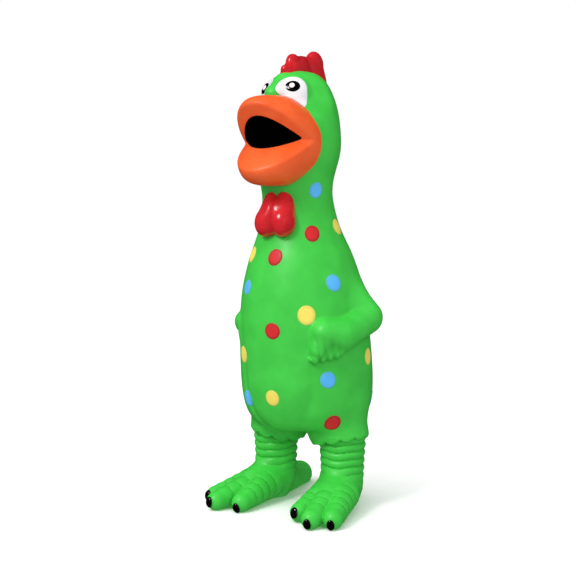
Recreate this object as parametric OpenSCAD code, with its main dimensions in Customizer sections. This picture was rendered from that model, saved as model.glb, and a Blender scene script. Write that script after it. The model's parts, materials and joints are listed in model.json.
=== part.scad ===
// Upright latex rubber chicken with a squeaker in its throat.
// Millimetres, +Z up. It faces -Y, and its left side is +X.
// The origin is on the floor, under the middle of the outline.

/* [Skin] */
// Thickness of the latex
wall = 2; // [1.6:0.1:2.4]
// Gap between pieces that move past each other
gap = 0.4; // [0.3:0.05:0.6]

/* [Body] */
// Largest radius of the body
body_r = 40.8; // [40:0.2:41.5]
// Height of the hips
hip_z = 60; // [59:0.5:61]
// Forward lean of the body and neck
lean = 5.5; // [5:0.1:6]
// Height of the neck flex above the hips
neck_up = 98.5; // [97:0.5:100]
// Radius of the neck where it flexes
neck_ball_r = 31.2; // [30.8:0.1:31.6]

/* [Belly] */
// Radius of the part of the belly that gives
belly_r = 26; // [24:0.5:28]
// Height of its centre
belly_z = 88; // [86:1:90]

/* [Head] */
// Front-to-back place of the skull
skull_y = -8.5; // [-9:0.1:-8]
// Height of the corners of the mouth
mouth_z = 224; // [223:0.5:225]
// Sideways turn of each eye
eye_turn = 36; // [34:1:38]
// Radius of each eyeball
eye_r = 11.5; // [11:0.1:12]

/* [Legs] */
// Sideways offset of each shank
leg_x = 25; // [24.5:0.5:26]
// Front-to-back place of the shanks
leg_y = 5; // [4.5:0.1:5.5]
// Height of the shank's flex
leg_pivot_z = 36; // [35:0.5:37]
// Radius of the shank
shank_r = 14.3; // [14:0.1:14.6]
// Height of the top of the foot
foot_h = 20; // [19:0.5:21]

/* [Dots] */
// Radius of a painted dot
dot_r = 5.3; // [5:0.1:5.6]
// Height of a dot at its middle
dot_h = 0.6; // [0.5:0.1:0.8]

/* [Squeaker] */
// Radius of the whistle case
whistle_r = 12; // [11:0.5:13]
// Height of the whistle case
whistle_h = 18; // [16:1:20]
// Height of the case's lower end
whistle_z = 192; // [191:0.5:193]

/* [Hidden] */
$fn = 96;
dot_facets = 240;                  // fine enough for lenses this low
reach = 200;                       // longer than anything that it cuts
hip = [0, leg_y, hip_z];
pivot = hip + neck_up * [0, -sin(lean), cos(lean)];
throat_y = skull_y + 0.5;          // the squeaker's axis, upright in the neck

// Radius and height along the leaning axis, counted from the hips
body_stations = [
    [0.985, 6], [1, 30], [0.968, 56], [0.912, 75], [0.84, 87], [0.8, 90.5]
];
neck_stations = [
    [1, 0], [0.94, 5.5], [0.85, 13], [0.78, 22], [0.735, 32], [0.71, 40]
];
// Radius and height of the skull, counted from the floor
skull_stations = [
    [19, 189], [22.6, 197], [25.2, 206], [26.8, 214], [27, 223], [26.3, 234],
    [24.8, 244], [22.7, 253], [19.6, 261], [14.5, 265.5], [8, 267.8], [0, 268.5]
];

// Colour, turn round the body from the front (left positive) and height of each dot
body_dots = [
    ["red", 56, 62], ["red", -70, 95], ["red", 150, 68], ["red", -120, 64], ["red", 176, 124],
    ["yellow", 37, 123], ["yellow", -34, 97], ["yellow", 102, 93],
    ["yellow", -148, 92], ["yellow", -76, 72], ["yellow", 140, 132],
    ["blue", 66, 140], ["blue", -31, 138], ["blue", 52, 84], ["blue", -36, 66],
    ["blue", 118, 66], ["blue", -122, 124], ["blue", 170, 92]
];
belly_dots = [["red", 6, 111], ["yellow", 4, 73]];
neck_dots = [
    ["red", 5, 163], ["red", 52, 170],
    ["yellow", -39, 163], ["yellow", 102, 173], ["yellow", -150, 172],
    ["blue", 66, 189], ["blue", -70, 186], ["blue", 178, 186]
];

// Claw tips of the left foot, from the inner toe to the outer one
claw_tips = [[21.5, -41], [35, -48.5], [46, -40]];
// Back of each heel, both given as on the left foot; the two feet aren't quite alike
left_heel = [15, 43];
right_heel = [33, 50];
toe_r = 7.2;
orange = [1, 0.45, 0.22];
latex = [0.24, 0.78, 0.27];
gloss_red = [0.82, 0.16, 0.18];
paint = [["red", [0.87, 0.13, 0.17]], ["yellow", [0.97, 0.87, 0.38]], ["blue", [0.33, 0.65, 0.98]]];

function ink(name) = [for (p = paint) if (p[0] == name) p[1]][0];
function outline(stations, inset) = [for (s = stations) [max(s[0] - inset, 0), s[1]]];
function grown(stations, r) = [for (s = stations) [s[0] * r, s[1]]];
function axis_y(z) = leg_y - (z - hip_z) * tan(lean);
function of_colour(dots, name) = [for (d = dots) if (d[0] == name) d];
function step_at(stations, z, i = 0) =
    z <= stations[i + 1][1] || i == len(stations) - 2 ? i : step_at(stations, z, i + 1);
function radius_at(stations, z) =
    let (i = step_at(stations, z), a = stations[i], b = stations[i + 1])
    a[0] + (b[0] - a[0]) * (z - a[1]) / (b[1] - a[1]);

module leaning() { translate(hip) rotate([lean, 0, 0]) children(); }
module mirrored(side) { mirror([side < 0 ? 1 : 0, 0, 0]) children(); }
module ellipsoid(r) { scale(r) sphere(1); }

// Body of revolution: a rounded bottom, then the stations
module body_form(inset) {
    low = body_stations[0];
    drop = 23;
    roundness = 0.75;
    leaning() rotate_extrude() polygon(concat(
        [for (a = [0:15:75]) [
            (low[0] * body_r - inset) * pow(sin(a), roundness),
            low[1] - (drop - inset) * pow(cos(a), roundness)
        ]],
        outline(grown(body_stations, body_r), inset),
        [[0, body_stations[5][1]]]
    ));
}

module thigh(side, inset) {
    translate([side * leg_x, leg_y, leg_pivot_z + 4 - (inset > 0 ? 1 : 0)])
        cylinder(r = shank_r + 1.2 - inset, h = 34 - inset);
}

module torso_form(inset) {
    body_form(inset);
    thigh(1, inset);
    thigh(-1, inset);
}

module torso_skin() {
    rim = body_stations[5];
    color(latex) difference() {
        torso_form(0);
        torso_form(wall);
        leaning() translate([0, 0, rim[1] - wall]) cylinder(r = rim[0] * body_r - wall, h = 2 * wall);
        translate(pivot) sphere(neck_ball_r + gap);
        for (s = [-1, 1]) translate([s * leg_x, leg_y, leg_pivot_z]) sphere(shank_r + gap);
        translate([0, 0, belly_z]) rotate([90, 0, 0]) cylinder(r = belly_r + gap, h = reach);
    }
}

module belly_panel() {
    color(latex) intersection() {
        difference() {
            body_form(0);
            body_form(wall);
        }
        translate([0, 0, belly_z]) rotate([90, 0, 0]) cylinder(r = belly_r, h = reach);
    }
}

// Neck with the ball that it flexes on, and the skull
module neck_form(inset) {
    leaning() translate([0, 0, neck_up]) rotate_extrude() polygon(concat(
        [[0, neck_stations[5][1]], [0, -neck_ball_r * sin(38) - (inset > 0 ? 1 : 0)]],
        [for (a = [-38:9.5:-9.5]) (neck_ball_r - inset) * [cos(a), sin(a)]],
        outline(grown(neck_stations, neck_ball_r), inset)
    ));
}

module skull_form(inset) {
    drop = inset > 0 ? 4 : 0;
    translate([0, skull_y, 0]) rotate_extrude() polygon(concat(
        [[0, skull_stations[0][1] - drop]],
        [[skull_stations[0][0] - inset, skull_stations[0][1] - drop]],
        [for (i = [1:10]) skull_stations[i] - [inset, inset * (i > 8 ? 1 : 0)]],
        [[0, skull_stations[11][1] - inset]]
    ));
}

module head_form(inset = 0) {
    neck_form(inset);
    skull_form(inset);
}

// The opening between the lips, from in front of them to its back wall
module mouth_form(inset) {
    back = -20;
    corner_x = 11;
    corner_r = 9 - inset;
    middle_z = mouth_z + 3;
    depth = 60;
    translate([0, back - inset, middle_z]) rotate([90, 0, 0]) linear_extrude(depth) {
        square([2 * corner_x, 2 * corner_r], center = true);
        for (s = [-1, 1]) translate([s * corner_x, 0]) circle(corner_r);
    }
}

module head_skin() {
    color(latex) difference() {
        head_form();
        head_form(wall);
        mouth_form(0);
    }
}

// Both lips in one, before they are parted at the corners of the mouth
module lips() {
    translate([0, -22.5, mouth_z + 15]) ellipsoid([27.5, 30, 11]);
    translate([0, -22, mouth_z - 17.5]) ellipsoid([27, 31.5, 12]);
    translate([0, -19, mouth_z - 1]) ellipsoid([27, 26.5, 17]);
}

module lip_half(upper) {
    color(orange) difference() {
        intersection() {
            lips();
            translate([-reach / 2, -reach, upper ? mouth_z : mouth_z - reach]) cube(reach);
        }
        head_form();
        mouth_form(0);
    }
}

module upper_beak() { lip_half(true); }
module lower_beak() { lip_half(false); }

// Black recess behind the lips, open to the throat through one air hole
module mouth_lining() {
    front = 36;
    thick = 1.5;
    color("black") difference() {
        intersection() {
            mouth_form(0);
            translate([-reach / 2, -front, 0]) cube([reach, reach, 2 * reach]);
        }
        mouth_form(thick);
        translate([0, -front, mouth_z + 1]) rotate([-90, 0, 0]) cylinder(r = 3, h = reach);
    }
}

module comb() {
    lobes = [[-19, 263, 4.8], [-11, 267, 8.2], [7, 265, 15]];
    low = 260;
    color(gloss_red) difference() {
        for (l = lobes) translate([0, l[0], l[1]]) rotate([0, 90, 0]) cylinder(r = l[2], h = 9, center = true);
        head_form();
        translate([-reach / 2, -reach / 2, low - reach]) cube(reach);
    }
}

module wattle() {
    color(gloss_red) difference() {
        for (s = [-1, 1]) translate([s * 5, axis_y(181) - 24, 181]) ellipsoid([7, 8, 11.5]);
        head_form();
    }
}

module eye_place(side) {
    mirrored(side) translate([0, skull_y, 0]) rotate([0, 0, eye_turn]) translate([0, -14.5, 251.5]) children();
}

module eye(side) {
    color("white") difference() {
        eye_place(side) sphere(eye_r);
        head_form();
        lips();
        translate([side > 0 ? -reach : 0, -reach / 2, reach]) cube(reach);
    }
}

module left_eye() { eye(1); }
module right_eye() { eye(-1); }

// A low disc of paint on the eyeball, looking forward and up
module on_eye(side, r, inner_r, h) {
    look_up = 16;
    eye_place(side) rotate([90 - look_up, 0, 0]) difference() {
        cylinder(r = r, h = eye_r + h);
        sphere(eye_r);
        if (inner_r > 0) cylinder(r = inner_r, h = reach);
    }
}

module left_pupil() { color("black") on_eye(1, 4.3, 1.7, 0.6); }
module right_pupil() { color("black") on_eye(-1, 4.3, 1.7, 0.6); }
module left_glint() { color("white") on_eye(1, 1.65, 0, 0.7); }
module right_glint() { color("white") on_eye(-1, 1.65, 0, 0.7); }

module wing_form(side) {
    shoulder = [31, 1, 140];
    elbow = [43.5, 1, 118];
    wrist = [36, -20, 111];
    tip = [30, -29, 102];
    mirrored(side) {
        hull() {
            translate(shoulder) sphere(8, $fn = 24);
            translate(elbow) sphere(9, $fn = 24);
        }
        hull() {
            translate(elbow) sphere(9, $fn = 24);
            translate(wrist) sphere(8, $fn = 24);
        }
        hull() {
            translate(wrist) sphere(8, $fn = 24);
            translate(tip) sphere(6, $fn = 24);
        }
    }
}

module wing(side) {
    color(latex) difference() {
        wing_form(side);
        torso_form(0);
    }
}

module left_wing() { wing(1); }
module right_wing() { wing(-1); }

// Ringed hollow shank, with the upper end of the ball that it flexes on
module leg(side) {
    rings = 4;
    ring_h = 3.6;
    groove = 0.9;
    color(latex) translate([side * leg_x, leg_y, leg_pivot_z]) rotate_extrude() polygon(concat(
        [for (i = [0:rings * 2]) [shank_r - (i % 2 == 0 ? 0 : groove), foot_h - leg_pivot_z + i * ring_h / 2]],
        [for (a = [6:10:46]) shank_r * [cos(a), sin(a)]],
        [for (a = [46:-20:6]) (shank_r - wall) * [cos(a), sin(a)]],
        [[shank_r - wall - groove, foot_h - leg_pivot_z]]
    ));
}

module left_leg() { leg(1); }
module right_leg() { leg(-1); }

module foot_form(side) {
    ankle = [leg_x, leg_y, 0];
    instep = [leg_x + 3, -16, 9];
    heel = side > 0 ? left_heel : right_heel;
    mirrored(side) intersection() {
        union() {
            for (t = claw_tips) hull() {
                translate(instep) sphere(10, $fn = 20);
                translate([t[0], t[1] + 4, toe_r - 2]) sphere(toe_r, $fn = 20);
            }
            hull() {
                translate(ankle) cylinder(r = shank_r, h = foot_h + 4, $fn = 32);
                translate(instep) sphere(11, $fn = 20);
            }
            hull() {
                translate(ankle) cylinder(r = shank_r, h = 14, $fn = 32);
                translate([heel[0], heel[1] - 6, 3]) sphere(9, $fn = 20);
            }
            hull() {
                translate(ankle) cylinder(r = shank_r, h = 4, $fn = 32);
                for (t = claw_tips) translate([t[0], t[1] + 14, 0]) cylinder(r = toe_r - 1, h = 4, $fn = 20);
            }
        }
        translate([-reach / 2, -reach / 2, 0]) cube([reach, reach, foot_h]);
    }
}

module claws(side) {
    claw_z = 6;
    color("black") difference() {
        mirrored(side) for (t = claw_tips) {
            translate([t[0] + (t[0] - leg_x) * 0.06, t[1] - 2.2, claw_z]) rotate([-25, 0, 0]) ellipsoid([2.4, 2.8, 3.6]);
        }
        foot_form(side);
    }
}

module left_foot() { color(latex) foot_form(1); }
module right_foot() { color(latex) foot_form(-1); }
module left_claws() { claws(1); }
module right_claws() { claws(-1); }

// One dot: a low lens that stands on the skin of a leaning body of revolution
module dot(turn, z, r) {
    lens_r = 26;
    leaning() rotate([0, 0, turn]) translate([0, -r, (z - hip_z) / cos(lean)]) intersection() {
        translate([0, lens_r - dot_h, 0]) sphere(lens_r);
        rotate([90, 0, 0]) cylinder(r = dot_r, h = 8, center = true);
    }
}

module dots(list, stations) {
    for (d = list) {
        color(ink(d[0])) dot(d[1], d[2], radius_at(stations, (d[2] - hip_z) / cos(lean)));
    }
}

module body_dots(name) {
    $fn = dot_facets;
    difference() {
        dots(of_colour(body_dots, name), grown(body_stations, body_r));
        torso_form(0);
    }
}

module red_dots_body() { body_dots("red"); }
module yellow_dots_body() { body_dots("yellow"); }
module blue_dots_body() { body_dots("blue"); }

module belly_dot(name) {
    $fn = dot_facets;
    difference() {
        dots(of_colour(belly_dots, name), grown(body_stations, body_r));
        body_form(0);
    }
}

module red_dot_belly() { belly_dot("red"); }
module yellow_dot_belly() { belly_dot("yellow"); }

function neck_line() = [for (s = neck_stations) [s[0] * neck_ball_r, s[1] + neck_up]];

module neck_dots(name) {
    $fn = dot_facets;
    difference() {
        dots(of_colour(neck_dots, name), neck_line());
        head_form();
    }
}

module red_dots_neck() { neck_dots("red"); }
module yellow_dots_neck() { neck_dots("yellow"); }
module blue_dots_neck() { neck_dots("blue"); }

// Latex ring inside the neck that grips the whistle case
module squeaker_collar() {
    collar_h = 6;
    color(latex) difference() {
        intersection() {
            head_form(wall);
            translate([0, throat_y, whistle_z + 4]) cylinder(r = reach / 2, h = collar_h);
        }
        translate([0, throat_y, 0]) cylinder(r = whistle_r, h = 2 * reach);
    }
}

module squeaker_housing() {
    color("ivory") translate([0, throat_y, whistle_z]) difference() {
        cylinder(r = whistle_r, h = whistle_h);
        translate([0, 0, 1.5]) cylinder(r = whistle_r - 1.5, h = whistle_h);
        translate([0, 0, -1]) cylinder(r = 3, h = 4);
    }
}

module squeaker_cap() {
    color("ivory") translate([0, throat_y, whistle_z + whistle_h]) difference() {
        union() {
            cylinder(r = whistle_r, h = 1.5);
            translate([0, 0, -3]) cylinder(r = whistle_r - 1.5, h = 3);
        }
        translate([0, 0, -4]) cylinder(r = whistle_r - 3, h = 4);
        for (a = [0:60:300]) rotate([0, 0, a]) translate([6, 0, -1]) cylinder(r = 1.6, h = 4);
    }
}

// Tube with a flat side cut away, which the reed closes
module reed_holder() {
    color("ivory") translate([0, throat_y, whistle_z + 1.5]) difference() {
        cylinder(r = 5, h = 12);
        translate([0, 0, -1]) cylinder(r = 3, h = 12);
        translate([-6, -6, 3]) cube([12, 6, 10]);
    }
}

module squeaker_reed() {
    reed_w = 8;
    color("white") translate([-reed_w / 2, throat_y - 0.9, whistle_z + 5]) cube([reed_w, 0.3, 8]);
}

torso_skin();
belly_panel();
head_skin();
left_wing();
right_wing();
left_leg();
right_leg();
left_foot();
right_foot();
left_claws();
right_claws();
upper_beak();
lower_beak();
mouth_lining();
comb();
wattle();
left_eye();
right_eye();
left_pupil();
right_pupil();
left_glint();
right_glint();
red_dots_body();
yellow_dots_body();
blue_dots_body();
red_dot_belly();
yellow_dot_belly();
blue_dots_neck();
yellow_dots_neck();
red_dots_neck();
squeaker_collar();
squeaker_housing();
squeaker_cap();
reed_holder();
squeaker_reed();
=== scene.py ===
"""Looks of an upright latex rubber chicken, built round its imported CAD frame.

The skin is described by smooth distance fields in millimetres, meshed, cut into pieces
where the toy flexes, and painted. Fields are negative inside. It faces -Y, its left is +X.
"""

import json
import math

import bmesh
import bpy
import numpy as np
import openvdb
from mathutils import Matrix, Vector


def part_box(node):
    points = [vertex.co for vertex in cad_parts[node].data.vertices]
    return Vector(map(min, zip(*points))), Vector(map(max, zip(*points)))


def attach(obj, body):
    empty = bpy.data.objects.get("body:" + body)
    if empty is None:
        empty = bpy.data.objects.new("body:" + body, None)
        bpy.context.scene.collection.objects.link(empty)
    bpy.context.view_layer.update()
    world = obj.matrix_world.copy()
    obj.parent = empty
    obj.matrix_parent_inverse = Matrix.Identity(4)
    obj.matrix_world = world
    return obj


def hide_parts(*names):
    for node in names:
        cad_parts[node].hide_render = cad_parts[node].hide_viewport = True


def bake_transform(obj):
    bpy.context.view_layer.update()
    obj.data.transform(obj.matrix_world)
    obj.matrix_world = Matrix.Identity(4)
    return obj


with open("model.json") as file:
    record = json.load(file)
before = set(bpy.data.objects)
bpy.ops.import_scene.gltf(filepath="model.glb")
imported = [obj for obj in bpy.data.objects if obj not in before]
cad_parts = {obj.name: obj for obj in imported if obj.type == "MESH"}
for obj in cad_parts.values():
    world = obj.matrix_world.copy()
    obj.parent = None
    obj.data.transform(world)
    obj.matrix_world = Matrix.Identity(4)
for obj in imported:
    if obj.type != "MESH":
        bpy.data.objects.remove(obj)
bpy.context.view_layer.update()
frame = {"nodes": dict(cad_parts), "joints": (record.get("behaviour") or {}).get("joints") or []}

MM = 0.001
JOINTS = {j["name"]: np.array(j["pos_m"]) / MM for j in frame["joints"] if "pos_m" in j}
NECK = JOINTS["neck_bend"]
LEG = JOINTS["left_leg_bend"]


def box_mm(node):
    """Lowest and highest corner of a CAD node, in millimetres."""
    low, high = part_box(node)
    return np.array(low) / MM, np.array(high) / MM


# ---------------------------------------------------------------- sizes, in millimetres

SIDES = ((1, "left"), (-1, "right"))
SKIN_VOXEL, LEG_VOXEL, FINE_VOXEL, LINING_VOXEL = 0.9, 0.6, 0.45, 0.4
# The body leans: its axis goes from the hips through the neck's joint
HIP = np.array([0.0, LEG[1], 60.0])
LEAN_UP = (NECK - HIP) / np.linalg.norm(NECK - HIP)
LEAN_FRONT = np.array([0.0, -LEAN_UP[2], LEAN_UP[1]])
SKULL_Y = -8.5
MOUTH_Z = 222.0
EYE_CENTRE = (5.2, -18.3, 249.8)
# The belly's bulge, and the fold round it: its middle, how far it goes each way, and down
BELLY_CENTRE, BELLY_RADII = (3, -7, 79.5), (30, 32, 32.5)
FOLD_X, FOLD_Z = 3, 82
FOLD_RIGHT, FOLD_LEFT, FOLD_DEEP = 22, 24, 35
# Middle of the knee and its radius where the thigh narrows to the hem
KNEE, KNEE_RADIUS = (23.4, 5, 44), 17.2
HEM_Z = 41.4
WRIST = (37.2, -15, 109)
# Half width of the mouth, and how far its edge rises and falls at the middle
MOUTH_HALF, MOUTH_RISE, MOUTH_FALL = 20.5, 12.6, 5.6
# Both lips together: half width, middle height and half height
LIPS_HALF, LIPS_Z, LIPS_HIGH = 25.0, 222.3, 26.2
# Wrinkles of the shanks: distance between two rings, depth, and where they start
RING_PITCH, RING_DEPTH, RING_START = 4.7, 1.6, 41.5
FINGERS = 4
# Back of each heel, middle of each sole and tips of the toes, as on the left foot; the feet aren't alike
HEELS = {1: (10.5, 30, 5.5), -1: (33, 43, 5.5)}
SOLES = {1: (21, 6, 6.5), -1: (30, 5, 6.5)}
TOE_TIPS = {1: [(21.5, -41.5), (35, -50), (45.4, -43)], -1: [(19.5, -44.5), (34.5, -49.8), (43, -40)]}
TOE_ROOTS = [(22, -7), (27.5, -9), (32.5, -5)]
# How far down each claw points, from the inner toe outwards
CLAW_DIP = {1: (-0.1, 0.25, 0.3), -1: (0.35, 0, -0.1)}
# How far behind a toe's tip its rounded end has its middle
TOE_BACK = 5.5

# Radius and height above the hips, along the leaning axis, from crotch to throat
BODY_LINE = [
    (0, -12.4), (16, -11.8), (27, -9.6), (34, -5.6), (38.2, 1), (40.2, 9), (40.9, 20), (40.7, 34),
    (40.1, 47), (39.2, 60), (37.4, 73.5), (34.8, 84.5), (31.3, 95.5), (28, 103.5), (25.3, 110.5),
    (23.4, 117.5), (21.9, 125.5), (21.3, 133), (21, 141), (19.6, 150), (16, 158), (9, 163.5), (0, 165.5),
]
# Radius and height from the floor, round the skull's own upright axis
SKULL_LINE = [
    (0, 184), (12.5, 187), (17.5, 193), (21, 200), (24, 207), (26.2, 215), (27, 223), (26.4, 233),
    (25, 242), (22.6, 250), (18.9, 257.5), (13.5, 262.8), (7, 265), (0, 265.6),
]


# ---------------------------------------------------------------- distance fields

def union(a, b, k):
    """Smooth union of two fields, blended over about k millimetres."""
    h = np.clip(0.5 + 0.5 * (b - a) / k, 0, 1)
    return b + (a - b) * h - k * h * (1 - h)


def carve(a, b, k):
    """Field a with field b taken away, with an edge rounded over about k."""
    return -union(-a, b, k)


def both(a, b, k):
    """Smooth intersection."""
    return -union(-a, -b, k)


def ball(p, centre, radii):
    """Ellipsoid."""
    q = (p - np.asarray(centre)) / np.asarray(radii, float)
    n = np.linalg.norm(q, axis=1)
    slope = np.linalg.norm(q / np.asarray(radii, float), axis=1)
    return n * (n - 1) / np.maximum(slope, 1e-6)


def limb(p, a, b, ra, rb):
    """Rounded cone from a to b."""
    a, b = np.asarray(a, float), np.asarray(b, float)
    along = np.clip((p - a) @ (b - a) / ((b - a) @ (b - a)), 0, 1)
    return np.linalg.norm(p - a - along[:, None] * (b - a), axis=1) - ra - (rb - ra) * along


def lathe_table(line, step=0.5):
    """Squared radius against height, on a smooth curve through the line's points."""
    r, h = np.array(line, float).T
    tangent = np.gradient(np.stack([r, h]), axis=1)
    rows = []
    for i in range(len(r) - 1):
        t = np.linspace(0, 1, 16, endpoint=i == len(r) - 2)[:, None]
        ends = (np.stack([r, h])[:, i], np.stack([r, h])[:, i + 1])
        pulls = (tangent[:, i], tangent[:, i + 1])
        rows.append(
            ends[0] * (2 * t**3 - 3 * t**2 + 1) + ends[1] * (3 * t**2 - 2 * t**3)
            + pulls[0] * (t**3 - 2 * t**2 + t) + pulls[1] * (t**3 - t**2)
        )
    r, h = np.concatenate(rows).T
    heights = np.arange(h[0], h[-1], step)
    square = np.interp(heights, h, np.maximum(r, 0) ** 2)
    return heights, square, np.gradient(square, step)


BODY_TABLE = lathe_table(BODY_LINE)
SKULL_TABLE = lathe_table(SKULL_LINE)


def lathe(rho2, h, table):
    """Body of revolution from its table, for points at squared radius rho2 and height h.

    Past either end of the table the squared radius drops steeply.
    """
    heights, square, slope = table
    inside = np.clip(h, heights[0], heights[-1])
    s = np.interp(inside, heights, square)
    g = np.interp(inside, heights, slope)
    steep = 60
    s = s - np.abs(h - inside) * steep
    return (rho2 - s) / np.sqrt(4 * np.maximum(rho2, s) + g * g + 1)


def leaning(p):
    """Squared radius and height above the hips, about the body's leaning axis."""
    q = p - HIP
    return q[:, 0] ** 2 + (q @ LEAN_FRONT) ** 2, q @ LEAN_UP


def mirror(p):
    """The same points on the left side, because both sides are alike."""
    return np.stack([np.abs(p[:, 0]), p[:, 1], p[:, 2]], 1)


def hollow(distance, width):
    """A soft groove's profile: 1 at no distance, and nearly 0 past twice the width."""
    return np.exp(-((distance / width) ** 2))


def trunk(p):
    """Body and neck, with the belly's bulge and the fold round it."""
    f = union(lathe(*leaning(p), BODY_TABLE), ball(p, BELLY_CENTRE, BELLY_RADII), 2)
    across, low = p[:, 0] - FOLD_X, np.minimum(p[:, 2] - FOLD_Z, 0)
    reach = np.where(across > 0, FOLD_RIGHT, FOLD_LEFT)
    away = (np.hypot(across / reach, low / FOLD_DEEP) - 1) * np.minimum(reach, FOLD_DEEP)
    fade = np.clip((100 - p[:, 2]) / 30, 0, 1) * (p[:, 1] < 0)
    depth = np.where(across > 0, 0.5, 0.75)
    return f + fade * (depth * hollow(away, 1.9) + 0.4 * hollow(away, 4.5))


def thigh(p, side):
    """Upper leg down to its scalloped hem, as on the left; side is the side that the points came from."""
    f = limb(p, (19, 4, 62), KNEE, 21.2, KNEE_RADIUS)
    f = union(f, limb(p, KNEE, (24.6, 5, 34), KNEE_RADIUS, 12.5), 2)
    q = p - np.array([LEG[0], LEG[1], 0])
    turn = np.arctan2(q[:, 0], -q[:, 1])
    scallop = np.abs(np.sin(turn * 5.5 + 0.5 * side)) ** 0.6
    edge = HEM_Z + 0.16 * q[:, 0] + 2.6 * (1 - scallop)
    return both(f, edge - p[:, 2], 1.4)


def upper_arm(p):
    """Arm from the shoulder to the elbow, on the left side."""
    return limb(p, (28, 5, 132.5), (42.2, 5, 119), 9.8, 8.9)


def forearm(p, side):
    """Forearm and hand, with the hand on the hip, as on the left side; the right hand is smaller."""
    right = np.where(side > 0, 0, 1)
    closer, higher, thinner = 3.5 * right, 4 * right, 1.8 * right
    q = p + np.stack([closer, -0.4 * closer, -higher], 1)
    fore = limb(q, (42, 5, 117), (*WRIST[:2], 108.5), 9, 9.4)
    hand = limb(q, WRIST, (31, -24.5, 111), 9.4, 7.8)
    palm = limb(q, (31, -25, 109), (28.8, -28, 100), 7.4, 5.4)
    hand = union(hand, palm, 2.5)
    for t in np.linspace(0, 1, FINGERS):
        root = (1 - t) * np.array([30, -26.5, 104]) + t * np.array([38, -15.5, 104.5])
        tip = (1 - t) * np.array([27.6, -30, 95.4]) + t * np.array([36.8, -19, 98.2])
        hand = union(hand, limb(q, root, tip, 4.6, 3.3), 0.5)
    pitch = 4.4
    across = (q - np.array([30, -26.5, 97])) @ np.array([0.58, 0.8, 0.25])
    gap = hollow(((across / pitch) % 1 - 0.5) * pitch, 0.8) * np.clip((111 - q[:, 2]) / 10, 0, 1)
    return union(fore, hand + 0.8 * gap, 2) + thinner


def torso(p):
    """Outer skin of body, thighs and arms, up into the neck."""
    m, side = mirror(p), np.sign(p[:, 0])
    f = union(trunk(p), thigh(m, side), 4.5)
    return union(union(f, upper_arm(m), 6), forearm(m, side), 2.2)


def ease(t):
    """Smooth step from 0 to 1."""
    t = np.clip(t, 0, 1)
    return t * t * (3 - 2 * t)


def skull(p):
    """Head without its mouth: narrower in front at the height of the eyes."""
    q = p - np.array([0, SKULL_Y, 0])
    narrow = 1 + 0.3 * ease((-q[:, 1] + 4) / 18) * ease((p[:, 2] - 234) / 16)
    f = lathe((q[:, 0] * narrow) ** 2 + q[:, 1] ** 2, p[:, 2], SKULL_TABLE) / np.sqrt(narrow)
    eye_mound = ball(mirror(p), EYE_CENTRE, (11.2, 10.8, 11.4))
    f = union(f, eye_mound, 1.5)
    brow = limb(p, (0, -22, 257.5), (0, -32, 249.5), 5, 5.5)
    return union(f, brow, 3)


def mouth_hole(p):
    """The opening between the lips, pointed at its corners, and the dark recess behind it."""
    across = 1 - (p[:, 0] / MOUTH_HALF) ** 2
    corner = MOUTH_Z + 1.2
    above_edge = (p[:, 2] - corner - MOUTH_RISE * across) / 1.35
    below_edge = (corner - MOUTH_FALL * across - p[:, 2]) / 1.12
    f = both(above_edge, below_edge, 1.5)
    return both(f, p[:, 1] + 24, 3)


def funnel(p):
    """Bevelled space between the lips: a wedge that opens forwards."""
    rho = np.hypot(p[:, 0], p[:, 1] - SKULL_Y)
    z = p[:, 2] - MOUTH_Z
    depth = rho - 30.2
    slope = np.where(z > 0, 1.32, 1.14)
    return (np.sqrt(z * z + 1) - slope * depth) * 0.65


def muzzle(p):
    """Outside of both lips: an oval from the front, and square-ended from the side."""
    x = p[:, 0] / LIPS_HALF
    z = (p[:, 2] - LIPS_Z) / LIPS_HIGH
    reach = 32.9 + 1.2 * ease((p[:, 2] - 226) / 16)
    y = np.maximum(-22 - p[:, 1], 0) / reach
    r = np.hypot(x, y) + 1e-6
    n = 2 + 3.2 * (y / r) ** 2
    return ((r**n + np.abs(z) ** n) ** (1 / n) - 1) * 25.5


def lips(p):
    """Both lips, with the bevel round the mouth."""
    return carve(muzzle(p), funnel(p), 1.2)


def beak(p):
    """Both lips, open at the mouth."""
    return carve(lips(p), mouth_hole(p), 0.5)


def head(p):
    """Outer skin of neck and head, open at the mouth."""
    return carve(head_solid(p), mouth_hole(p), 0.5)


def head_solid(p):
    """Neck and head with the mouth filled, which paint is laid on."""
    return union(trunk(p), skull(p), 5)


def lining(p):
    """Thin black wall of the recess behind the lips."""
    hole = mouth_hole(p)
    f = np.maximum(hole - 0.9, -hole - 0.6)
    return both(f, union(lips(p), head_solid(p), 0.1) + 0.25, 0.3)


def comb(p):
    """Three lobes along the top of the head, with shallow valleys between them."""
    high = box_mm("comb")[1][2]
    front = limb(p, (0, -16.5, 262), (0, -20.5, 265.6), 4.4, 2.6)
    middle = limb(p, (0, -9, 262), (0, -12.6, 270.8), 7.5, 4.8)
    rear = limb(p, (0, 7, 262), (0, 10.5, high - 7), 13, 7)
    web = ball(p, (0, -1, 260), (10, 22, 15.6))
    f = union(union(front, middle, 1.2), union(rear, web, 2), 1.2)
    half = np.interp(p[:, 2], [258, 264, 272, 281], [5.6, 5.0, 4.4, 2.6])
    rear_valley = np.abs(p[:, 1] + 2 - 0.45 * (276 - p[:, 2]))
    front_valley = np.abs(p[:, 1] + 17.4 + 0.2 * (270 - p[:, 2]))
    valley = np.minimum(rear_valley, front_valley)
    half = half - hollow(valley, 1.8) * np.clip((p[:, 2] - 262) / 6, 0, 1)
    return both(f, np.abs(p[:, 0]) - half, 3)


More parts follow.
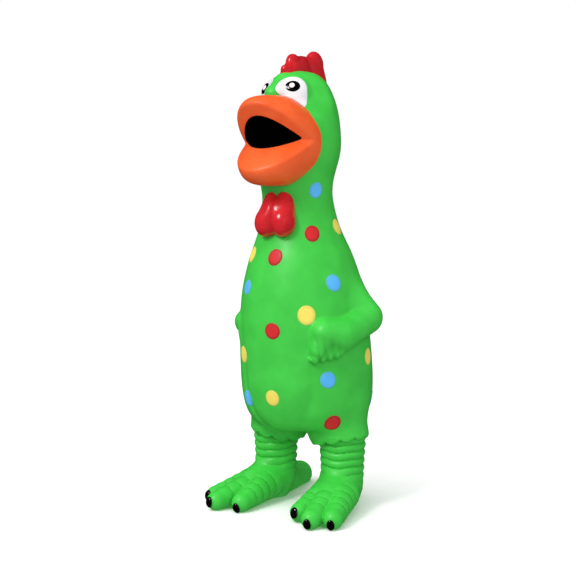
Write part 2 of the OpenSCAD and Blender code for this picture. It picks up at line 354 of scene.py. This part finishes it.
def wattle(p):
    """Two lobes that hang under the chin, joined along a shallow groove."""
    m = mirror(p)
    top = limb(m, (3.6, -26, 187), (5, -30, 177), 6.6, 7.4)
    f = union(top, ball(m, (6, -31, 173.6), (7, 7.2, 7.6)), 3)
    f = union(f, ball(p, (0, -30, 178), (7, 7.4, 11.5)), 2)
    return f + 0.8 * hollow(p[:, 0], 1.8) * (p[:, 1] < -28)


def shank(p):
    """Wrinkled lower leg, on the left side."""
    q = p - np.array([LEG[0], LEG[1], 0])
    rho = np.hypot(q[:, 0], q[:, 1])
    turn = np.arctan2(q[:, 0], -q[:, 1])
    wave = p[:, 2] + 0.8 * np.sin(turn + 0.6) + 0.5 * np.sin(2 * turn + 2) + 0.3 * np.sin(5 * turn)
    ring = np.sqrt(np.abs(np.sin(math.pi * (wave - RING_START) / RING_PITCH)))
    strength = np.interp(p[:, 2], [13, 19, 24, 42, 47], [0, 0.5, 1, 1, 0])
    radius = np.interp(p[:, 2], [0, 6, 12, 20, 30, 42, 50], [6, 9.5, 12, 12.8, 13.2, 14.0, 14.0])
    return both(rho - radius - (ring - 0.7) * RING_DEPTH * strength, p[:, 2] - 52, 3)


def toe(p, tip, root):
    """One toe with its knuckle creases."""
    a, b = np.array([*root, 11.0]), np.array([tip[0], tip[1] + TOE_BACK, 5.4])
    along = (p - a) @ (b - a) / ((b - a) @ (b - a))
    f = limb(p, a, b, 9.5, 5.9)
    crease = 1 - np.sqrt(np.abs(np.sin(math.pi * (along * 5 + 0.3))) + 1e-6)
    fade = np.clip((along + 0.1) * 4, 0, 1) * np.clip((1.0 - along) * 5, 0, 1)
    fade *= np.clip((p[:, 2] - 2) / 4, 0, 1)
    return f + 0.75 * crease * fade


def foot(p, side):
    """Foot with three toes and a broad heel, as on the left side, flat underneath."""
    f = limb(p, (25, 2, 14), (28, -12, 10), 12.6, 11)
    f = union(f, limb(p, SOLES[side], HEELS[side], 12.3, 8.5), 4)
    toes = None
    for tip, root in zip(TOE_TIPS[side], TOE_ROOTS):
        one = toe(p, tip, root)
        toes = one if toes is None else union(toes, one, 1.0)
    return union(f, toes, 3)


def leg_field(side):
    """Shank and foot of one side, as on the left side."""
    def field(p):
        f = union(shank(p), foot(p, side), 4)
        return both(f, -p[:, 2], 1.2)
    return field


# ---------------------------------------------------------------- meshing

def gradient(field, p, step=0.05):
    """Outward unit normal of the field at points p."""
    corners = np.array([[1, -1, -1], [-1, -1, 1], [-1, 1, -1], [1, 1, 1]], float)
    g = sum(c * field(p + step * c)[:, None] for c in corners)
    return g / np.maximum(np.linalg.norm(g, axis=1, keepdims=True), 1e-12)


def surface(field, low, high, voxel):
    """Vertices, outward normals and quads of a field's zero surface inside a box.

    The field is read on a coarse grid first, and on every voxel only where the surface is near.
    """
    low, high = np.asarray(low, float), np.asarray(high, float)
    coarse = 4
    cells = np.ceil((high - low) / (voxel * coarse)).astype(int)
    axes = [low[i] + np.arange(cells[i] + 1) * voxel * coarse for i in range(3)]
    rough = np.stack(np.meshgrid(*axes, indexing="ij"), -1).reshape(-1, 3)
    rough = field(rough).reshape(cells + 1)
    near = np.full(tuple(cells), np.inf)
    corner_sum = np.zeros(tuple(cells))
    for offset in np.ndindex(2, 2, 2):
        part = rough[tuple(slice(o, o + c) for o, c in zip(offset, cells))]
        near = np.minimum(near, np.abs(part))
        corner_sum += part
    want = near < voxel * coarse * 1.3
    band = 3 * voxel
    grid = np.kron(np.sign(corner_sum), np.ones((coarse,) * 3)).astype(np.float32) * band
    fine = np.argwhere(np.kron(want, np.ones((coarse,) * 3, bool)))
    grid[tuple(fine.T)] = np.clip(field(low + fine * voxel), -band, band)
    vdb = openvdb.FloatGrid()
    vdb.copyFromArray(grid)
    points, quads = vdb.convertToQuads(isovalue=0)
    points = low + points.astype(float) * voxel
    for _ in range(2):
        normal = gradient(field, points)
        points -= normal * np.clip(field(points), -0.3 * voxel, 0.3 * voxel)[:, None]
    return points, gradient(field, points), quads.astype(int)


def new_object(name, points, faces, normals=None):
    """Smooth-shaded mesh object from millimetres."""
    mesh = bpy.data.meshes.new(name)
    mesh.from_pydata((np.asarray(points) * MM).tolist(), [], [list(map(int, f)) for f in faces])
    mesh.update()
    mesh.shade_smooth()
    if normals is not None:
        mesh.normals_split_custom_set_from_vertices(np.asarray(normals).tolist())
    piece = bpy.data.objects.new(name, mesh)
    bpy.context.scene.collection.objects.link(piece)
    return piece


def cut(points, quads, planes):
    """The part of a mesh on the positive side of each plane (point, normal), closed with flat caps."""
    bm = bmesh.new()
    verts = [bm.verts.new(p) for p in points]
    for q in quads:
        bm.faces.new([verts[i] for i in q])
    for point, normal in planes:
        geometry = bm.verts[:] + bm.edges[:] + bm.faces[:]
        done = bmesh.ops.bisect_plane(
            bm, geom=geometry, dist=1e-5, plane_co=point, plane_no=normal, clear_inner=True
        )
        rim = [e for e in done["geom_cut"] if isinstance(e, bmesh.types.BMEdge) and e.is_boundary]
        bmesh.ops.triangle_fill(bm, edges=rim, use_beauty=True)
    bmesh.ops.recalc_face_normals(bm, faces=bm.faces[:])
    bm.verts.index_update()
    new_points = np.array([v.co for v in bm.verts])
    faces = [[v.index for v in f.verts] for f in bm.faces]
    bm.free()
    return new_points, faces


# ---------------------------------------------------------------- materials

def srgb(r, g, b):
    """Linear colour from 0-255 screen values."""
    def one(c):
        c /= 255
        return c / 12.92 if c <= 0.04045 else ((c + 0.055) / 1.055) ** 2.4
    return (one(r), one(g), one(b), 1.0)


class Paint:
    """A material with a few helpers for its nodes."""

    def __init__(self, name, roughness, coat, subsurface, specular):
        self.material = bpy.data.materials.new(name)
        self.material.use_nodes = True
        self.nodes = self.material.node_tree.nodes
        self.links = self.material.node_tree.links
        self.shader = self.nodes["Principled BSDF"]
        self.shader.inputs["Roughness"].default_value = roughness
        self.shader.inputs["Coat Weight"].default_value = coat
        self.shader.inputs["Coat Roughness"].default_value = 0.12
        self.shader.inputs["Specular IOR Level"].default_value = specular
        if subsurface:
            self.shader.inputs["Subsurface Weight"].default_value = subsurface
            self.shader.inputs["Subsurface Radius"].default_value = (0.4, 1.0, 0.4)
            self.shader.inputs["Subsurface Scale"].default_value = 0.0015
        self.place = self.nodes.new("ShaderNodeTexCoord").outputs["Object"]

    def noise(self, scale, detail):
        """Noise of a scale in repeats per metre."""
        node = self.nodes.new("ShaderNodeTexNoise")
        node.inputs["Scale"].default_value = scale
        node.inputs["Detail"].default_value = detail
        self.links.new(self.place, node.inputs["Vector"])
        return node.outputs["Fac"]

    def ramp(self, value, low, high, a, b):
        """A value between low and high, turned into one between a and b."""
        node = self.nodes.new("ShaderNodeMapRange")
        for socket, number in zip(("From Min", "From Max", "To Min", "To Max"), (low, high, a, b)):
            node.inputs[socket].default_value = number
        self.links.new(value, node.inputs["Value"])
        return node.outputs["Result"]

    def mix(self, amount, a, b):
        """Colour a where the amount is 0 and colour b where it is 1; each is a tuple or a node's output."""
        node = self.nodes.new("ShaderNodeMix")
        node.data_type = "RGBA"
        for socket, colour in ((node.inputs[6], a), (node.inputs[7], b)):
            if isinstance(colour, tuple):
                socket.default_value = colour
            else:
                self.links.new(colour, socket)
        self.links.new(amount, node.inputs[0])
        return node.outputs[2]

    def colour(self, value):
        self.links.new(value, self.shader.inputs["Base Color"])

    def roughness(self, value):
        self.links.new(value, self.shader.inputs["Roughness"])

    def bump(self, height, strength, distance):
        node = self.nodes.new("ShaderNodeBump")
        node.inputs["Strength"].default_value = strength
        node.inputs["Distance"].default_value = distance
        self.links.new(height, node.inputs["Height"])
        self.links.new(node.outputs["Normal"], self.shader.inputs["Normal"])


def coat_of_paint(name, light, deep, roughness, coat, grain=0.1, subsurface=0.0, specular=0.5, rim=None):
    """Sprayed paint: its tone drifts between two colours, with a fine grain in its gloss.

    Towards a dot's rim its colour turns towards the colour called rim: painted shade along the dot's edge.
    """
    paint = Paint(name, roughness, coat, subsurface, specular)
    drift = paint.ramp(paint.noise(90, 2), 0.35, 0.65, 0, 1)
    tone = paint.mix(drift, light, deep)
    if rim:
        near = paint.nodes.new("ShaderNodeAttribute")
        # Painted shade: a dot's colour darkens towards its rim, following the rim share stored on its points
        near.attribute_name = "rim"
        tone = paint.mix(paint.ramp(near.outputs["Fac"], 0.62, 0.95, 0, 0.85), tone, rim)
    paint.colour(tone)
    fine = paint.noise(1500, 3)
    paint.roughness(paint.ramp(fine, 0.3, 0.7, roughness - 0.05, roughness + 0.06))
    paint.bump(fine, grain, 0.0002)
    return paint.material


MATERIALS = {
    "green_latex": coat_of_paint("green latex", srgb(62, 198, 68), srgb(56, 190, 62), 0.42, 0.05, 0.12, 0.1),
    "orange_latex": coat_of_paint("orange latex", srgb(240, 98, 40), srgb(236, 86, 28), 0.4, 0.08, 0.1, 0.05),
    "red_gloss": coat_of_paint("red gloss", srgb(206, 34, 42), srgb(188, 24, 34), 0.24, 0.5, 0.02),
    "black_mouth": coat_of_paint("black mouth", srgb(4, 4, 3), srgb(2, 2, 2), 0.9, 0.0, specular=0.05),
    "eye_white": coat_of_paint("eye white", srgb(234, 233, 236), srgb(226, 226, 230), 0.3, 0.3, 0.03),
    "black_gloss": coat_of_paint("black gloss", srgb(10, 9, 10), srgb(4, 4, 5), 0.12, 0.9, 0.02),
    "glint_white": coat_of_paint("glint white", srgb(246, 246, 246), srgb(240, 240, 242), 0.25, 0.3, 0.02),
    # The rim colour of each dot is painted shade along its edge
    "dot_red": coat_of_paint(
        "dot red", srgb(212, 26, 34), srgb(200, 20, 28), 0.5, 0.04, 0.03, rim=srgb(150, 30, 26)
    ),
    "dot_yellow": coat_of_paint(
        "dot yellow", srgb(240, 220, 98), srgb(232, 212, 88), 0.5, 0.04, 0.03, rim=srgb(206, 200, 86)
    ),
    "dot_blue": coat_of_paint(
        "dot blue", srgb(84, 182, 244), srgb(76, 172, 238), 0.5, 0.04, 0.03, rim=srgb(84, 168, 196)
    ),
    "whistle_plastic": coat_of_paint("whistle plastic", srgb(240, 236, 222), srgb(232, 228, 212), 0.35, 0.1),
    "reed_plastic": coat_of_paint("reed plastic", srgb(250, 250, 250), srgb(240, 240, 240), 0.3, 0.1),
}


# ---------------------------------------------------------------- where the pieces are cut apart

def above(z):
    """Point on the leaning axis at height z from the floor."""
    return HIP + LEAN_UP * (z - HIP[2]) / LEAN_UP[2]


# Each bend would go from where the skin is still the torso's to where it is all the other body's; only the
# seams are used, as the planes that cut the skin.
# The belly's runs along the direction in which a hand presses, through planes that slope with the body.
PRESS_SLOPE = math.radians(20)
PRESS = np.array([0, -math.cos(PRESS_SLOPE), -math.sin(PRESS_SLOPE)])
NECK_SEAM, NECK_END = above(146), above(170)
BELLY_SEAM, BELLY_END = PRESS * -7, PRESS * 17
LEG_TOP, LEG_END = 46.0, 24.0


def in_metres(v):
    """A point in metres from one in millimetres."""
    return tuple(float(c) * MM for c in v)


def settle(piece, body, bend, nodes, slot):
    """Give a piece its finish and, if it has no bend, its body; no bend is made here. Hide the CAD nodes it
    stands for.
    """
    piece.data.materials.append(MATERIALS[slot])
    if bend == "neck":
        in_metres(NECK_SEAM)
        in_metres(NECK_END)
        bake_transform(piece)
    elif bend == "belly":
        in_metres(BELLY_SEAM)
        in_metres(BELLY_END)
        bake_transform(piece)
    elif bend == "leg":
        x = LEG[0] if body == "left_leg" else -LEG[0]
        top, end = in_metres((x, LEG[1], LEG_TOP)), in_metres((x, LEG[1], LEG_END))
        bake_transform(piece)
    else:
        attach(piece, body)
    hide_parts(*nodes)


# ---------------------------------------------------------------- skin pieces

def skin(name, mesh, field, planes, body, bend, nodes):
    """One green piece, cut from a mesh of the field."""
    points, faces = cut(*mesh, planes)
    piece = new_object(name, points, faces, gradient(field, points))
    settle(piece, body, bend, nodes, "green_latex")


def make_body():
    """Torso with thighs and arms, and the belly as a piece of its own, cut along a sloping plane."""
    points, _, quads = surface(torso, (-60, -60, 38), (60, 60, 160), SKIN_VOXEL)
    mesh, below_neck = (points, quads), (NECK_SEAM, -LEAN_UP)
    nodes = ["torso_skin", "left_wing", "right_wing"]
    skin("torso", mesh, torso, [below_neck, (BELLY_SEAM, -PRESS)], "torso", None, nodes)
    skin("belly", mesh, torso, [below_neck, (BELLY_SEAM, PRESS)], "belly", "belly", ["belly_panel"])


def make_head():
    """Neck and head, open at the mouth."""
    points, _, quads = surface(head, (-34, -60, 132), (34, 30, 274), SKIN_VOXEL)
    skin("neck_and_head", (points, quads), head, [(NECK_SEAM, LEAN_UP)], "head", "neck", ["head_skin"])


def make_legs():
    """Shank and foot of each side in one piece."""
    for side, name in SIDES:
        leg = leg_field(side)
        points, _, quads = surface(leg, (0, -62, -3), (62, 60, 56), LEG_VOXEL)
        flip = np.array([side, 1, 1])
        faces = quads if side > 0 else quads[:, ::-1]
        piece = new_object(name + "_leg_and_foot", points * flip, faces, gradient(leg, points) * flip)
        settle(piece, name + "_leg", "leg", [name + "_leg", name + "_foot"], "green_latex")


def make_volume(name, field, low, high, nodes, slot, voxel=FINE_VOXEL):
    """A closed piece that rides on the head."""
    points, normals, quads = surface(field, low, high, voxel)
    piece = new_object(name, points, quads, normals)
    settle(piece, "head", None, nodes, slot)


# ---------------------------------------------------------------- raised paint

# Rings of a patch from its middle to its rim, closer together where it curves down, and points round each
RINGS = (0.3, 0.55, 0.75, 0.88, 0.95, 0.985, 1)
AROUND = 56


def patch(field, inside, axis, up, outline, height):
    """A thin lens of paint laid on a field: outline(turn) is its radius in millimetres.

    Rays leave the point inside, round the axis; turn is counted from the side towards up.
    Returns points, faces, and each point's share of the way from the middle to the rim.
    """
    inside, axis = np.asarray(inside, float), np.asarray(axis, float) / np.linalg.norm(axis)
    side = np.cross(up, axis)
    side /= np.linalg.norm(side)
    top = np.cross(axis, side)

    def shoot(direction):
        reach = np.linspace(2, 60, 117)
        p = inside + direction[:, None, :] * reach[None, :, None]
        value = field(p.reshape(-1, 3)).reshape(len(direction), -1)
        first = np.argmax(value > 0, axis=1)
        rows = np.arange(len(direction))
        a, b = value[rows, first - 1], value[rows, first]
        t = reach[first - 1] + (reach[1] - reach[0]) * a / (a - b)
        p = inside + direction * t[:, None]
        for _ in range(3):
            p -= direction * field(p)[:, None]
        return p

    reach = np.linalg.norm(shoot(axis[None, :])[0] - inside)
    turns = np.linspace(0, 2 * math.pi, AROUND, endpoint=False)
    radius = np.array([outline(t) for t in turns])
    rows = []
    for ring in RINGS:
        angle = ring * radius / reach
        direction = (
            axis * np.cos(angle)[:, None]
            + (side * np.cos(turns)[:, None] + top * np.sin(turns)[:, None]) * np.sin(angle)[:, None]
        )
        rows.append(shoot(direction))
    flat = np.concatenate([shoot(axis[None, :])] + rows)
    normal = gradient(field, flat)
    share = np.concatenate([[0.0]] + [np.full(AROUND, ring) for ring in RINGS])
    rise = height * np.sqrt(np.maximum(1 - share**8, 0)) - 0.12 * share**8
    outer = flat + normal * rise[:, None]
    inner = flat - normal * 0.5
    count = len(flat)
    faces = []
    for j in range(AROUND):
        k = (j + 1) % AROUND
        faces.append((0, 1 + j, 1 + k))
        faces.append((count, count + 1 + k, count + 1 + j))
        for i in range(len(RINGS) - 1):
            a, b = 1 + i * AROUND, 1 + (i + 1) * AROUND
            faces.append((a + j, b + j, b + k, a + k))
            faces.append((count + a + k, count + b + k, count + b + j, count + a + j))
        last = 1 + (len(RINGS) - 1) * AROUND
        faces.append((last + j, count + last + j, count + last + k, last + k))
    return np.concatenate([outer, inner]), faces, np.concatenate([share, share])


def oval(across, up):
    """Outline of an ellipse: radius against turn, from its half width and half height."""
    return lambda t: across * up / math.hypot(up * math.cos(t), across * math.sin(t))


def join(parts):
    """Several patches as one."""
    points, faces, shares, start = [], [], [], 0
    for part_points, part_faces, part_share in parts:
        points.append(part_points)
        shares.append(part_share)
        faces.extend([tuple(i + start for i in f) for f in part_faces])
        start += len(part_points)
    return np.concatenate(points), faces, np.concatenate(shares)


def painted(name, points, faces, share):
    """Mesh object of raised paint, which stores how near each point is to the paint's rim."""
    piece = new_object(name, points, faces)
    # The rim share lets a dot's material paint shade along the dot's edge
    piece.data.attributes.new("rim", "FLOAT", "POINT").data.foreach_set("value", share)
    return piece


# Colour, turn from the front (left positive), height and radius of each dot
BODY_DOTS = [
    ("red", 56, 57.5, 5), ("red", -70, 95, 5), ("red", 150, 68, 5),
    ("red", -120, 64, 5), ("red", 176, 124, 4.8),
    ("yellow", 37, 124, 5.5), ("yellow", -34, 98, 5), ("yellow", 102, 93, 5),
    ("yellow", -148, 92, 5), ("yellow", -76, 72, 5), ("yellow", 140, 132, 5.2),
    ("blue", 66, 141, 5), ("blue", -31, 139, 4.6), ("blue", 52, 85, 5), ("blue", -31, 71, 5),
    ("blue", 118, 64, 5), ("blue", -122, 124, 5), ("blue", 170, 92, 5.2),
]
BELLY_DOTS = [("red", 6, 115, 5), ("yellow", 4, 75, 4.9)]
NECK_DOTS = [
    ("red", 5, 157.5, 4.8), ("red", 52, 170, 4.7),
    ("yellow", -39, 158, 4.8), ("yellow", 102, 172, 4.8), ("yellow", -150, 170, 4.8),
    ("blue", 66, 194.5, 4.6), ("blue", -70, 186, 4.6), ("blue", 178, 186, 4.6),
]


def dot(field, turn, z, radius):
    """One round dot, a little uneven."""
    turn = math.radians(turn)
    axis = above(z)
    out = LEAN_FRONT * math.cos(turn) + np.array([math.sin(turn), 0, 0])
    span = np.linspace(8, 70, 249)
    value = field(axis + out * span[:, None])
    depth = 22
    inside = axis + out * (span[np.argmax(value > 0)] - depth)
    return patch(field, inside, out, LEAN_UP, lambda t: radius * (1 + 0.03 * math.sin(2 * t + z)), 0.35)


def make_dots():
    """One piece for the dots of each colour on each body."""
    groups = (
        (BODY_DOTS, torso, "torso", "belly", "_dots_body"),
        (BELLY_DOTS, torso, "belly", "belly", "_dot_belly"),
        (NECK_DOTS, head_solid, "head", "neck", "_dots_neck"),
    )
    for dots, field, body, bend, ending in groups:
        for colour in ("red", "yellow", "blue"):
            mine = [dot(field, *place) for ink, *place in dots if ink == colour]
            if mine:
                piece = painted(colour + ending + "_paint", *join(mine))
                settle(piece, body, bend, [colour + ending], "dot_" + colour)


def through(points):
    """Smooth closed outline: radius against turn, through (degrees, radius) points."""
    degrees, radius = np.array(points, float).T

    def outline(turn):
        at = math.degrees(turn) % 360
        steps = np.concatenate([degrees - 360, degrees, degrees + 360])
        values = np.tile(radius, 3)
        i = np.searchsorted(steps, at, side="right") - 1
        t = (at - steps[i]) / (steps[i + 1] - steps[i])
        a, b, c, d = values[i - 1 : i + 3]
        square, cube = 2 * a - 5 * b + 4 * c - d, 3 * b - a - 3 * c + d
        return 0.5 * (2 * b + (c - a) * t + square * t * t + cube * t**3)

    return outline


# Turn in degrees and radius of the white of the left eye
EYE_OUTLINE = [
    (0, 8.7), (45, 9.8), (90, 10.2), (135, 9), (180, 7.3), (205, 6.7),
    (240, 6.6), (270, 7.6), (305, 10), (325, 10),
]


def make_eyes():
    """White, pupil and glint of each eye, laid one over the other."""
    white, up = through(EYE_OUTLINE), (0, 0, 1)
    for side, name in SIDES:
        centre = np.array(EYE_CENTRE) * [side, 1, 1]
        flip = (lambda turn: turn) if side > 0 else (lambda turn: math.pi - turn)

        def look(turn, rise):
            """Direction turned from the front towards the side, and raised."""
            a, b = math.radians(turn), math.radians(rise)
            return np.array([side * math.sin(a) * math.cos(b), -math.cos(a) * math.cos(b), math.sin(b)])

        layers = (
            ("eye", look(32, 12), lambda t: white(flip(t)), 0.4, "eye_white"),
            ("pupil", look(29, 24), oval(4.6, 3.8), 0.75, "black_gloss"),
            ("glint", look(27, 25), oval(1.7, 1.7), 1.05, "glint_white"),
        )
        for part, axis, outline, height, slot in layers:
            piece = painted(f"{name}_{part}_paint", *patch(head_solid, centre, axis, up, outline, height))
            settle(piece, "head", None, [f"{name}_{part}"], slot)


def make_claws():
    """Three claws on each foot, in one piece."""
    for side, name in SIDES:
        flip = np.array([side, 1, 1])
        parts = []
        for tip, root, dip in zip(TOE_TIPS[side], TOE_ROOTS, CLAW_DIP[side]):
            forward = np.array([tip[0] - root[0], tip[1] - root[1], 0.0])
            forward /= np.linalg.norm(forward)
            inside = np.array([tip[0], tip[1] + TOE_BACK, 5.6]) - forward * 1.5
            axis = forward - np.array([0, 0, dip])
            points, faces, share = patch(leg_field(side), inside, axis, (0, 0, 1), oval(2.3, 3.3), 1.3)
            if side < 0:
                faces = [f[::-1] for f in faces]
            parts.append((points * flip, faces, share))
        piece = painted(name + "_claws_paint", *join(parts))
        settle(piece, name + "_leg", "leg", [name + "_claws"], "black_gloss")


# ---------------------------------------------------------------- studio

# Brightness of the white room and of the soft light from above
SKY, SUN = 0.66, 1.42


def make_floor():
    """White paper that takes a shadow but throws no light or reflection back."""
    bpy.ops.mesh.primitive_plane_add(size=8)
    floor = bpy.context.object
    floor.name = "floor"
    white, shade = srgb(255, 255, 255), srgb(253, 253, 253)
    floor.data.materials.append(coat_of_paint("pale paper", white, shade, 0.7, 0.0, 0.02, specular=0))
    floor.visible_glossy = False
    floor.visible_diffuse = False


def make_world():
    """Room that is white to the camera and dimmer as a light, and that nothing reflects."""
    world = bpy.data.worlds.new("studio")
    bpy.context.scene.world = world
    bpy.context.scene.view_settings.view_transform = "Standard"
    world.use_nodes = True
    nodes, links = world.node_tree.nodes, world.node_tree.links
    nodes["Background"].inputs["Color"].default_value = (1, 1, 1, 1)
    seen = nodes.new("ShaderNodeLightPath").outputs["Is Camera Ray"]
    strength = nodes.new("ShaderNodeMapRange")
    strength.inputs["To Min"].default_value = SKY
    links.new(seen, strength.inputs["Value"])
    links.new(strength.outputs["Result"], nodes["Background"].inputs["Strength"])
    world.cycles_visibility.glossy = False


def place_lamp(name, light, power, place, direction, glossy):
    """Put a light in the scene; only a glossy one shows in reflections."""
    light.energy = power
    lamp = bpy.data.objects.new(name, light)
    bpy.context.scene.collection.objects.link(lamp)
    lamp.location = place
    lamp.visible_glossy = glossy
    lamp.rotation_euler = Vector(direction).to_track_quat("-Z", "Y").to_euler()


def make_lights():
    """A wide soft sun from above, a key light in front and a fill from the toy's left."""
    sun = bpy.data.lights.new("soft sun", "SUN")
    sun.angle = math.radians(75)
    place_lamp("soft_sun", sun, SUN, (0, 0, 0), (0.4, 0.55, -1.5), False)
    for name, place, size, power, glossy in (
        ("key", (-0.15, -1.0, 0.95), 0.36, 6.8, True),
        ("fill", (0.85, -0.6, 0.45), 0.6, 3.2, False),
    ):
        light = bpy.data.lights.new(name, "AREA")
        light.size = size
        place_lamp(name, light, power, place, Vector((0, 0, 0.14)) - Vector(place), glossy)


def make_camera():
    """The photograph's viewing angle: 34 degrees round to the toy's left, a little above its middle."""
    turn, distance, height = math.radians(34), 0.65, 0.175
    down, aside = math.radians(3.6), math.radians(1.09)
    camera = bpy.data.cameras.new("camera")
    camera.lens = 65.56
    camera.sensor_width = 36
    eye = bpy.data.objects.new("camera", camera)
    bpy.context.scene.collection.objects.link(eye)
    middle = LEG[1] * MM - 0.001
    eye.location = (distance * math.sin(turn), middle - distance * math.cos(turn), height)
    eye.rotation_euler = (math.radians(90) - down, 0, turn + aside)
    bpy.context.scene.camera = eye


SQUEAKER = {
    "squeaker_collar": "green_latex",
    "squeaker_housing": "whistle_plastic",
    "squeaker_cap": "whistle_plastic",
    "reed_holder": "whistle_plastic",
    "squeaker_reed": "reed_plastic",
}


def finish_squeaker():
    """The squeaker's pieces keep their CAD shape and get their finish."""
    for node, slot in SQUEAKER.items():
        for holder in frame["nodes"][node].material_slots:
            holder.material = MATERIALS[slot]


make_camera()
make_floor()
make_world()
make_lights()
make_body()
make_head()
make_legs()
make_volume("beak", beak, (-32, -60, 188), (32, -2, 256), ["upper_beak", "lower_beak"], "orange_latex")
make_volume("mouth_recess", lining, (-24, -56, 212), (24, -18, 240), ["mouth_lining"], "black_mouth",
            LINING_VOXEL)
make_volume("comb_lobes", comb, (-8, -32, 250), (8, 24, 284), ["comb"], "red_gloss")
make_volume("wattle_lobes", wattle, (-16, -44, 164), (16, -16, 200), ["wattle"], "red_gloss")
make_dots()
make_eyes()
make_claws()
finish_squeaker()
